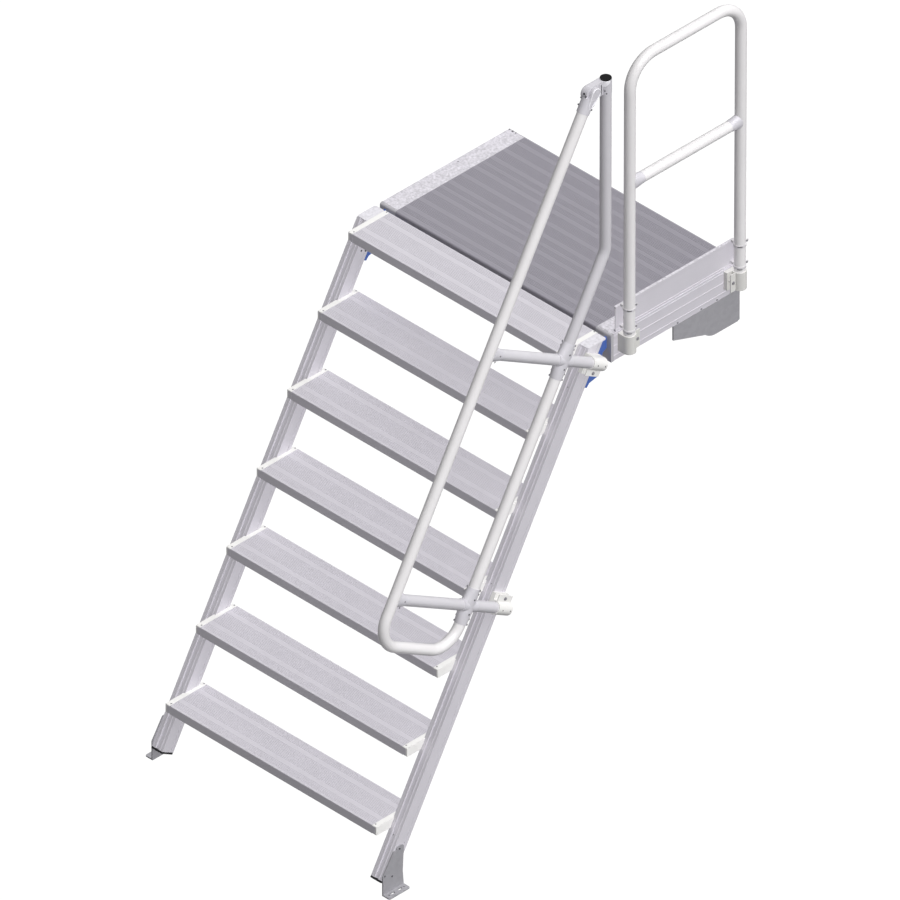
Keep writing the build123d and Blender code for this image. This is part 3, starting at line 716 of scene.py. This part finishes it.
@dataclass
class Landing:
    """Beams, planks, nosing, joining plates and wall brackets."""

    planks: int = 3
    # Y of the bolts along the foot of each beam, whose seats lie a little behind its beads.
    beam_bolts: Point = (1345.0, 1457.0, 1531.0)
    beam_bolt: HeadSize = HeadSize(3.4, 1.8)
    beam_bolt_level: float = 1645.0
    beam_bolt_depth: float = 1.2
    top_screw_place: Pair = (1091.0, 1383.0)
    top_screw: HeadSize = HeadSize(3.0, 0.8)
    # X and radius of the screws of the left end plate, which the right one mirrors.
    end_screws: tuple[Pair, ...] = ((22.0, 2.4), (38.0, 3.8), (53.0, 2.4))
    end_screw_height: float = 1.0
    end_screw_y: float = 1637.0

    def dress(self) -> None:
        """Dresses the CAD nodes of the landing."""
        dress(("side_beam_left", "side_beam_right", "toe_board"), BEAM)
        dress([f"deck_plank_{number}" for number in range(1, self.planks + 1)] + ["deck_nosing"], DECK)
        dress(("beam_end_caps",), END_CAP)
        dress(("joining_plates",), BLUE)
        dress(("wall_bracket_left", "wall_bracket_right"), ZINC)

    def beam_bolt_heads(self) -> None:
        """Makes the small bolts along the foot of both beams and the screw in the top of each."""
        bolts = Trim("beam_bolts", SCREW)
        for face, way in OUTER_SIDES:
            for y in self.beam_bolts:
                place = (face - way * self.beam_bolt_depth, y, self.beam_bolt_level)
                bolts.head(place, (way, 0.0, 0.0), self.beam_bolt)
        x, y = self.top_screw_place
        for across in (x, mirrored(x)):
            bolts.head((across, y, DECK_Z), UPWARD, self.top_screw)
        bolts.complete()

    def end_screw_heads(self) -> None:
        """Makes the three dark screws that hold the rear end plate of each beam."""
        screws = Trim("beam_end_screws", DARK_SCREW_AND_SHADE)
        for x, radius in self.end_screws:
            size = HeadSize(radius, self.end_screw_height)
            for across in (x, mirrored(x)):
                screws.head((across, self.end_screw_y, DECK_Z), UPWARD, size)
        screws.complete()

    def build(self) -> None:
        """Dresses and completes the landing."""
        self.dress()
        self.beam_bolt_heads()
        self.end_screw_heads()


@dataclass
class Guardrail:
    """The hoop beside the platform, its knee rail, clamps and toe-board clips."""

    # Y of the front and of the rear post.
    posts: Pair = (1084.176, 1607.176)
    clamp_level: float = 1710.5
    clamp_bolt_reach: float = 35.0
    clamp_bolt: HeadSize = HeadSize(5.0, 4.0, Head.HEX)
    ear_face: float = 1141.5
    clip_levels: Pair = (1764.0, 1851.0)
    clip_reach: float = 30.0
    clip_screw: HeadSize = HeadSize(3.6, 3.0)
    clip_face: float = 1139.5
    board_x: float = 1098.5
    board_front: float = 1055.176
    board_levels: Pair = (1754.0, 1846.0)
    board_screw: HeadSize = HeadSize(2.6, 0.8)
    # Heights, radius, size and section of the painted shade in the gaps of the toe-board clips.
    gap_levels: Pair = (1760.0, 1852.0)
    gap_radius: float = 21.8
    gap_half_height: float = 1.8
    gap_half_turn: float = 23.0
    gap_steps: int = 12
    # Way out from the clip's band, and rise as a share of the half height.
    gap_section: tuple[Pair, ...] = ((-0.8, -1.0), (0.35, -1.0), (0.5, 0.0), (0.35, 1.0), (-0.8, 1.0))

    def dress(self) -> None:
        """Dresses the CAD nodes of the guardrail."""
        dress(("guardrail_hoop", "knee_rail"), RAIL)
        dress(("toe_clips",), CLIP)
        dress(("knee_rail_tees",), CAST)
        dress(("post_clamp_front", "post_clamp_rear"), POST_CLAMP)

    def bolts(self) -> None:
        """Makes the clamp bolts, the clip screws and the screws in the toe board's front end."""
        heads = Trim("guardrail_bolts", SCREW)
        for post, way in zip(self.posts, (1.0, -1.0)):
            heads.head((self.ear_face, post + way * self.clamp_bolt_reach, self.clamp_level), RIGHTWARD,
                       self.clamp_bolt)
            for level in self.clip_levels:
                heads.head((self.clip_face, post + self.clip_reach, level), RIGHTWARD, self.clip_screw)
        for level in self.board_levels:
            heads.head((self.board_x, self.board_front, level), (0.0, -1.0, 0.0), self.board_screw)
        heads.complete()

    def clip_shade_gap(self, name: str, post: float, level: float) -> None:
        """Makes a thin dark piece between the jaws of one toe-board clip, as painted shade in the gap.

        Args:
            name: The piece's name.
            post: Place of the post's axis along Y.
            level: Height of the gap.
        """
        rings = []
        for turn in spread(-self.gap_half_turn, self.gap_half_turn, self.gap_steps):
            ring = []
            for out, rise in self.gap_section:
                x, y = on_circle(RAIL_X, post, self.gap_radius + out, math.radians(turn + CORNER_TURN))
                ring.append((x, y, level + self.gap_half_height * rise))
            rings.append(ring)
        gap = Trim(name, DARK_SCREW_AND_SHADE)
        gap.shell(rings)
        gap.complete()

    def build(self) -> None:
        """Dresses and completes the guardrail."""
        self.dress()
        self.bolts()
        for place, post in zip(("front", "rear"), self.posts):
            for mark, level in zip(("low", "high"), self.gap_levels):
                self.clip_shade_gap(f"clip_shade_gap_{place}_{mark}", post, level)


@dataclass
class Handrail:
    """The looped handrail beside the flight, its crossbars, fittings, elbow and clamps."""

    # Way up the slope of both crossbars.
    crossbars: Pair = (1017.0, 1911.0)
    # Height ahead of the stringer of both tubes of the loop.
    inner: float = 155.0
    outer: float = 552.0
    clamp_middle: float = -27.5
    clamp_bolt_reach: float = 35.0
    clamp_bolt: HeadSize = HeadSize(5.0, 4.0, Head.HEX)
    ear_face: float = 1141.5
    # Height ahead of the stringer of the screws on each clamp's ring.
    ring_screws: Pair = (-13.0, -53.0)
    ring_radius: float = 23.9
    ring_screw: HeadSize = HeadSize(2.6, 0.6)
    # Steps up the slope from the crossbar to the screws on the outer side of its cross fitting.
    fitting_steps: Pair = (-25.0, 28.0)
    fitting_radius: float = 21.9
    fitting_screw: HeadSize = HeadSize(3.4, 0.7)
    # Step up the slope from the crossbar, height ahead, and way out of the screws on each tee.
    tee_screws: tuple[Point, ...] = ((1.0, 514.0, 19.9), (-24.0, 522.0, 13.0))
    tee_facing: Point = (0.9, 0.2, -0.2)
    tee_screw: HeadSize = HeadSize(3.2, 0.8)
    # Steps up the slope to the screws on the front and rear sides of the cross fitting's ends.
    end_steps: tuple[float, ...] = (-62.0, -42.0, 48.0, 62.0)
    end_radius: float = 21.7
    end_height: float = 3.4
    # Way up the slope of the elbow's socket screws, their side and how far they stand out.
    socket_rows: tuple[tuple[Pair, float, float], ...] = (((2833.0, 2808.0), -1.0, 4.4),
                                                          ((2822.0, 2806.0), 1.0, 4.0))
    socket_radius: float = 22.2
    side_facing: Point = (0.807, 0.511, -0.295)
    side_radius: float = 3.2
    post_y: float = 970.176
    # Height and turn from the near corner, in degrees, of the screws on the elbow's collar.
    collar_screws: tuple[Pair, ...] = ((2801.0, -8.2), (2789.5, 7.3))
    collar_radius: float = 20.9
    collar_screw: HeadSize = HeadSize(2.8, 0.6)
    arm_screws: tuple[Point, ...] = ((1134.0, 872.7, 2820.9), (1142.6, 871.3, 2815.0))
    arm_facing: Point = (0.0, -0.95, 0.3)
    arm_screw: HeadSize = HeadSize(4.2, 1.0)
    # Turns from the near corner, in degrees, where the collar's lip, a painted highlight, starts, is deepest
    # and ends.
    lip_turns: Point = (-50.0, -18.0, 42.0)
    lip_depths: Point = (10.0, 25.0, 8.0)
    lip_top: float = 2839.0
    lip_steps: int = 24
    # Radius, rise, and share of the lip's depth that it drops.
    lip_section: tuple[Point, ...] = ((20.4, 0.0, 0.0), (21.5, -0.2, 0.0), (22.6, 1.2, 1.0), (22.0, 0.0, 1.0),
                                      (20.4, 0.0, 1.0))
    # Place, heights, bow and section of the dark strip of painted shade where the elbow's arm meets its
    # collar.
    seam_x: float = 1144.5
    seam_y: float = 942.0
    seam_levels: Pair = (2789.0, 2829.0)
    seam_bow: float = 1.6
    seam_steps: int = 8
    seam_section: tuple[Pair, ...] = ((-0.6, 1.5), (0.5, 1.5), (0.8, 0.0), (0.5, -1.5), (-0.6, -1.5))
    leaf_face: float = 1158.5
    # Y, Z and radius of the round ends of the elbow's swivel leaf.
    leaf_top: Point = (906.176, 2815.4, 18.8)
    leaf_foot: Point = (878.2, 2778.5, 8.8)
    leaf_steps: tuple[int, int] = (28, 14)
    # Section of the leaf's rim, whose lighter finish is a painted highlight.
    rim_radius: float = 1.9
    rim_rise_share: float = 0.9
    rim_sides: int = 8

    def dress(self) -> None:
        """Dresses the CAD nodes of the handrail."""
        dress(("handrail_loop", "handrail_lower_tube"), RAIL)
        dress(("handrail_post", "crossbar_lower", "crossbar_upper"), POST)
        dress(("handrail_elbow", "cross_fitting_lower", "cross_fitting_upper", "crossbar_tees"), CAST)
        dress(("crossbar_clamp_lower", "crossbar_clamp_upper"), CLAMP)
        dress(("post_plug", "tube_plugs"), BLACK)

    def bolts(self) -> None:
        """Makes the clamp bolts of both crossbars."""
        heads = Trim("handrail_bolts", SCREW)
        for along, way in zip(self.crossbars, (1.0, -1.0)):
            y, z = on_flight(along + way * self.clamp_bolt_reach, self.clamp_middle)
            heads.head((self.ear_face, y, z), RIGHTWARD, self.clamp_bolt)
        heads.complete()

    def side_screw(self, screws: Trim, along: float, ahead: float, radius: float, way: float,
                   height: float) -> None:
        """Adds one set screw on the side of a round fitting that lies along the slope.

        Args:
            screws: The piece that it joins.
            along: Way up the slope.
            ahead: Height of the fitting's axis ahead of the stringer.
            radius: The fitting's radius.
            way: 1.0 for the rear side, -1.0 for the front side.
            height: How far the screw stands out.
        """
        y, z = on_flight(along, ahead)
        outward = tuple(way * part for part in self.side_facing)
        place = (RAIL_X + radius * outward[0], y + radius * outward[1], z + radius * outward[2])
        screws.head(place, outward, HeadSize(self.side_radius, height))

    def crossbar_screws(self, screws: Trim, along: float) -> None:
        """Adds the set screws of one crossbar's clamp, cross fitting and tee.

        Args:
            screws: The piece that they join.
            along: Way up the slope of the crossbar.
        """
        for ahead in self.ring_screws:
            y, z = on_flight(along, ahead)
            screws.head((RAIL_X + self.ring_radius, y, z), RIGHTWARD, self.ring_screw)
        for step in self.fitting_steps:
            y, z = on_flight(along + step, self.inner)
            screws.head((RAIL_X + self.fitting_radius, y, z), RIGHTWARD, self.fitting_screw)
        for step, ahead, out in self.tee_screws:
            y, z = on_flight(along + step, ahead)
            screws.head((RAIL_X + out, y, z), self.tee_facing, self.tee_screw)
        for step in self.end_steps:
            for way in (-1.0, 1.0):
                self.side_screw(screws, along + step, self.inner, self.end_radius, way, self.end_height)

    def elbow_screws(self, screws: Trim) -> None:
        """Adds the set screws of the elbow's socket, collar and arm.

        Args:
            screws: The piece that they join.
        """
        for row, way, height in self.socket_rows:
            for along in row:
                self.side_screw(screws, along, self.outer, self.socket_radius, way, height)
        for level, turn in self.collar_screws:
            angle = math.radians(turn + CORNER_TURN)
            x, y = on_circle(RAIL_X, self.post_y, self.collar_radius, angle)
            screws.head((x, y, level), (math.cos(angle), math.sin(angle), 0.0), self.collar_screw)
        for place in self.arm_screws:
            screws.head(place, self.arm_facing, self.arm_screw)

    def set_screws(self) -> None:
        """Makes the small dark set screws of the clamps, the fittings, the tees and the elbow."""
        screws = Trim("handrail_set_screws", DARK_SCREW_AND_SHADE)
        for along in self.crossbars:
            self.crossbar_screws(screws, along)
        self.elbow_screws(screws)
        screws.complete()

    def lip_depth(self, turn: float) -> float:
        """Gives how deep the collar's lip is.

        Args:
            turn: Turn from the near corner, in degrees.

        Returns:
            Its depth there.
        """
        start, deepest, stop = self.lip_turns
        first, deep, last = self.lip_depths
        if turn < deepest:
            return first + (deep - first) * (turn - start) / (deepest - start)
        return last + (deep - last) * (stop - turn) / (stop - deepest)

    def collar_highlight_lip(self) -> None:
        """Makes a thin lip in a lighter finish on the front of the elbow's collar, deepest near its middle,
        as a painted highlight where the collar catches the light.
        """
        rings = []
        for turn in spread(self.lip_turns[0], self.lip_turns[2], self.lip_steps):
            depth = self.lip_depth(turn)
            ring = []
            for radius, rise, share in self.lip_section:
                x, y = on_circle(RAIL_X, self.post_y, radius, math.radians(turn + CORNER_TURN))
                ring.append((x, y, self.lip_top + rise - share * depth))
            rings.append(ring)
        lip = Trim("elbow_collar_highlight_lip", HIGHLIGHT_ALLOY, "fitting_alloy")
        lip.shell(rings)
        lip.complete()

    def elbow_shade_seam(self) -> None:
        """Makes a thin dark strip where the elbow's arm meets its collar, as painted shade in the gap between
        them.
        """
        low, high = self.seam_levels
        rings = []
        for share in spread(0.0, 1.0, self.seam_steps):
            middle = self.seam_y + self.seam_bow * math.sin(math.pi * share)
            level = low + (high - low) * share
            rings.append([(self.seam_x + out, middle + behind, level) for out, behind in self.seam_section])
        seam = Trim("elbow_joint_shade_seam", DARK_SCREW_AND_SHADE, "fitting_alloy")
        seam.shell(rings)
        seam.complete()

    def leaf_highlight_rim(self) -> None:
        """Makes a raised rim round the face of the elbow's swivel leaf, whose lighter finish is a painted
        highlight of its rounded edge.
        """
        top_y, top_z, top_radius = self.leaf_top
        foot_y, foot_z, foot_radius = self.leaf_foot
        heading = math.atan2(foot_z - top_z, foot_y - top_y)
        lean = math.acos((top_radius - foot_radius) / math.hypot(foot_y - top_y, foot_z - top_z))
        top_turns = spread(heading + lean, heading - lean + math.tau, self.leaf_steps[0])
        foot_turns = spread(heading - lean, heading + lean, self.leaf_steps[1])
        outline = [(on_circle(top_y, top_z, top_radius, angle), angle) for angle in top_turns]
        outline += [(on_circle(foot_y, foot_z, foot_radius, angle), angle) for angle in foot_turns]
        rings = []
        for (y, z), angle in outline:
            ring = []
            for index in range(self.rim_sides):
                out, rise = on_circle(0.0, 0.0, self.rim_radius, math.tau * index / self.rim_sides)
                ring.append((self.leaf_face + self.rim_rise_share * rise, *on_circle(y, z, out, angle)))
            rings.append(ring)
        rim = Trim("elbow_leaf_highlight_rim", HIGHLIGHT_ALLOY, "fitting_alloy")
        rim.shell(rings, looped=True)
        rim.complete(smooth=True)

    def build(self) -> None:
        """Dresses and completes the handrail."""
        self.dress()
        self.bolts()
        self.set_screws()
        self.collar_highlight_lip()
        self.elbow_shade_seam()
        self.leaf_highlight_rim()


@dataclass
class Studio:
    """The pale floor, the soft light and the camera, in metres, with lens and sensor in millimetres."""

    floor_reach: float = 60.0
    floor_level: float = -0.0005
    floor_cloud: float = 0.6
    floor_dark: Colour = (0.20, 0.20, 0.205, 1.0)
    floor_light: Colour = (0.22, 0.22, 0.225, 1.0)
    floor_glow: float = 1.12
    floor_glow_share: float = 0.92
    white: Colour = (1.0, 1.0, 1.0, 1.0)
    key_strength: float = 3.55
    key_shadow_share: float = 0.1
    key_direction: Point = (0.6416, 0.0, 0.767)
    key_softness: float = 50.0
    fill_strength: float = 0.7
    fill_direction: Point = (-0.35, 0.85, 0.35)
    fill_softness: float = 60.0
    sky: float = 0.28
    lens: float = 1600.0
    sensor: float = 36.0
    nearest: float = 1.0
    farthest: float = 600.0
    camera_place: Point = (77.5619, -76.1254, 78.5750)
    camera_back: Point = (0.576347, -0.575913, 0.579784)

    def floor_material(self) -> bpy.types.Material:
        """Builds the floor's white: matt for the stair's light, and glowing where the camera sees it.

        Returns:
            The material.
        """
        made = bpy.data.materials.new("floor_white")
        graph = Graph.cleared(made)
        cloud = graph.add("ShaderNodeTexNoise", {"Scale": self.floor_cloud})
        tone = graph.mix_colour(cloud.outputs[0], self.floor_dark, self.floor_light)
        matt = graph.add("ShaderNodeBsdfDiffuse", {"Color": tone})
        glow = graph.add("ShaderNodeEmission", {"Color": self.white, "Strength": self.floor_glow})
        seen = graph.add("ShaderNodeLightPath")
        share = graph.maths("MULTIPLY", seen.outputs["Is Camera Ray"], self.floor_glow_share)
        mixed = graph.add("ShaderNodeMixShader", {0: share, 1: matt.outputs[0], 2: glow.outputs[0]})
        graph.add("ShaderNodeOutputMaterial", {"Surface": mixed.outputs[0]})
        return made

    def floor(self) -> None:
        """Makes the plain pale floor."""
        mesh = bpy.data.meshes.new("floor")
        reach = self.floor_reach
        corners = [(x * reach, y * reach, self.floor_level) for x, y in ((-1, -1), (1, -1), (1, 1), (-1, 1))]
        mesh.from_pydata(corners, [], [(0, 1, 2, 3)])
        ground = bpy.data.objects.new("floor", mesh)
        bpy.context.scene.collection.objects.link(ground)
        mesh.materials.append(self.floor_material())

    def lamp(self, name: str, direction: Point, strength: float, softness: float,
             shadow: bool = True) -> None:
        """Makes one wide soft lamp that shines from the given direction.

        Args:
            name: The lamp's name.
            direction: From the object towards the lamp.
            strength: Its strength.
            softness: How wide it looks from the object, in degrees.
            shadow: Whether it casts shadows, or stands for light that comes round every edge.
        """
        light = bpy.data.lights.new(name, "SUN")
        light.energy = strength
        light.angle = math.radians(softness)
        light.use_shadow = shadow
        lamp = bpy.data.objects.new(name, light)
        lamp.rotation_mode = "QUATERNION"
        lamp.rotation_quaternion = Vector(direction).to_track_quat("Z", "Y")
        bpy.context.scene.collection.objects.link(lamp)

    def sky_light(self) -> None:
        """Makes the even ambient light and the white ground behind everything."""
        world = bpy.data.worlds.new("studio")
        graph = Graph.cleared(world)
        seen = graph.add("ShaderNodeLightPath")
        level = graph.maths("MULTIPLY_ADD", seen.outputs["Is Camera Ray"], 1.0 - self.sky, self.sky)
        air = graph.add("ShaderNodeBackground", {"Color": self.white, "Strength": level})
        graph.add("ShaderNodeOutputWorld", {"Surface": air.outputs[0]})
        bpy.context.scene.world = world

    def camera(self) -> None:
        """Makes the camera at the photograph's viewing angle, with a long lens for its parallel view."""
        data = bpy.data.cameras.new("camera")
        data.lens = self.lens
        data.sensor_width = self.sensor
        data.clip_start = self.nearest
        data.clip_end = self.farthest
        eye = bpy.data.objects.new("camera", data)
        eye.location = self.camera_place
        eye.rotation_mode = "QUATERNION"
        eye.rotation_quaternion = (-Vector(self.camera_back)).to_track_quat("-Z", "Y")
        bpy.context.scene.collection.objects.link(eye)
        bpy.context.scene.camera = eye

    def build(self) -> None:
        """Sets up floor, lights and camera."""
        self.floor()
        shaped = self.key_strength * self.key_shadow_share
        self.lamp("key", self.key_direction, shaped, self.key_softness)
        self.lamp("key_even", self.key_direction, self.key_strength - shaped, self.key_softness, False)
        self.lamp("fill", self.fill_direction, self.fill_strength, self.fill_softness)
        self.sky_light()
        self.camera()
        bpy.context.scene.view_settings.view_transform = "Standard"


def main() -> None:
    """Builds every sub-assembly and the studio."""
    logging.basicConfig(level=logging.INFO, format="%(message)s")
    Flight().build()
    Landing().build()
    Guardrail().build()
    Handrail().build()
    Studio().build()


if __name__ == "__main__":
    main()
